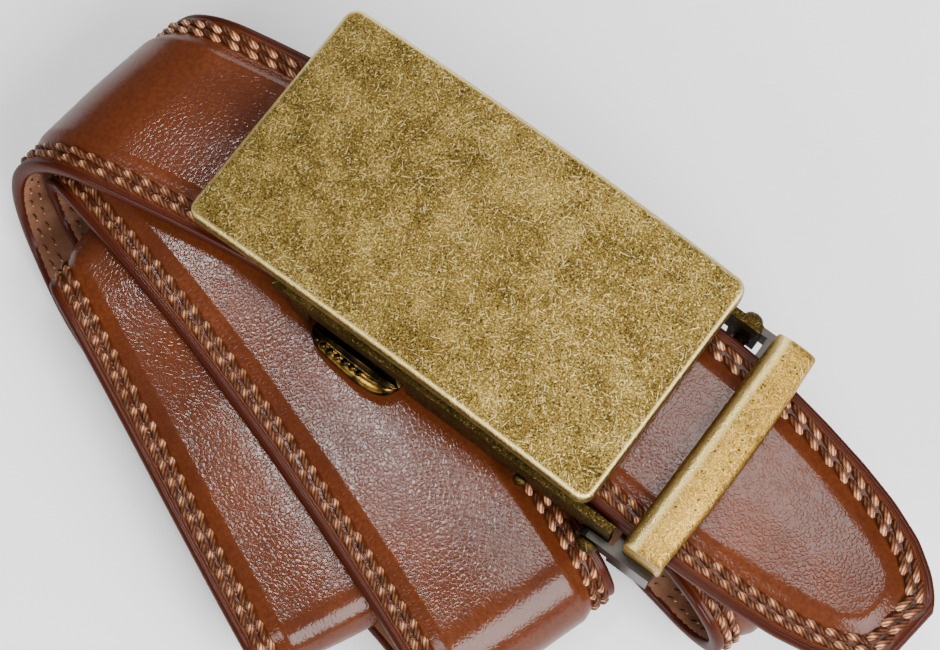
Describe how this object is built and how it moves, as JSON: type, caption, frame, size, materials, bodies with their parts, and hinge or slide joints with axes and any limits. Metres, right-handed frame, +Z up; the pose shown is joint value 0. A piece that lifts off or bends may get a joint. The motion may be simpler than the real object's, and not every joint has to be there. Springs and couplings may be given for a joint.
{
  "type": "ratchet belt",
  "caption": "Stitched leather strap belt with a sliding ratchet buckle and blank face plate, buckled and coiled flat in fanned turns.",
  "frame": {"origin": "middle of the underside of the object's box, on the surface that the coiled belt lies on", "axes": "+X along the long side of the face plate towards the keeper and the strap's tip, +Y across the strap, +Z up out of the face plate"},
  "size_m": [0.1584, 0.0906, 0.0368],
  "materials": {
    "strap_leather": "smooth finished brown grain with a soft sheen and painted edges",
    "strap_lining": "matt undyed split leather",
    "ratchet_track": "black moulded strip",
    "face_plate": "antique brass, dark patina with fine random scratches",
    "buckle_frame": "antique brass, dull",
    "clamp_jaw": "satin grey metal",
    "keeper": "antique brass, worn bright on top",
    "pins": "antique brass, polished by use",
    "release_lever": "dark bronze, polished"
  },
  "bodies": {
    "belt": {"strap_leather": "strap_leather", "strap_lining": "strap_lining", "ratchet_track": "ratchet_track", "face_plate": "face_plate", "buckle_frame": "buckle_frame", "clamp_jaw": "clamp_jaw", "keeper": "keeper", "hinge_pin": "pins", "lever_pin": "pins"},
    "lever": {"release_lever": "release_lever"}
  },
  "joints": [
    {"name": "release_lever_hinge", "type": "hinge", "parent": "belt", "child": "lever", "pos_m": [0.01722, 0.02232, 0.0235], "axis": [0, -1, 0], "range_deg": [0, 2], "stiffness_Nm_per_rad": 0.4, "springref_deg": -8.59}
  ]
}
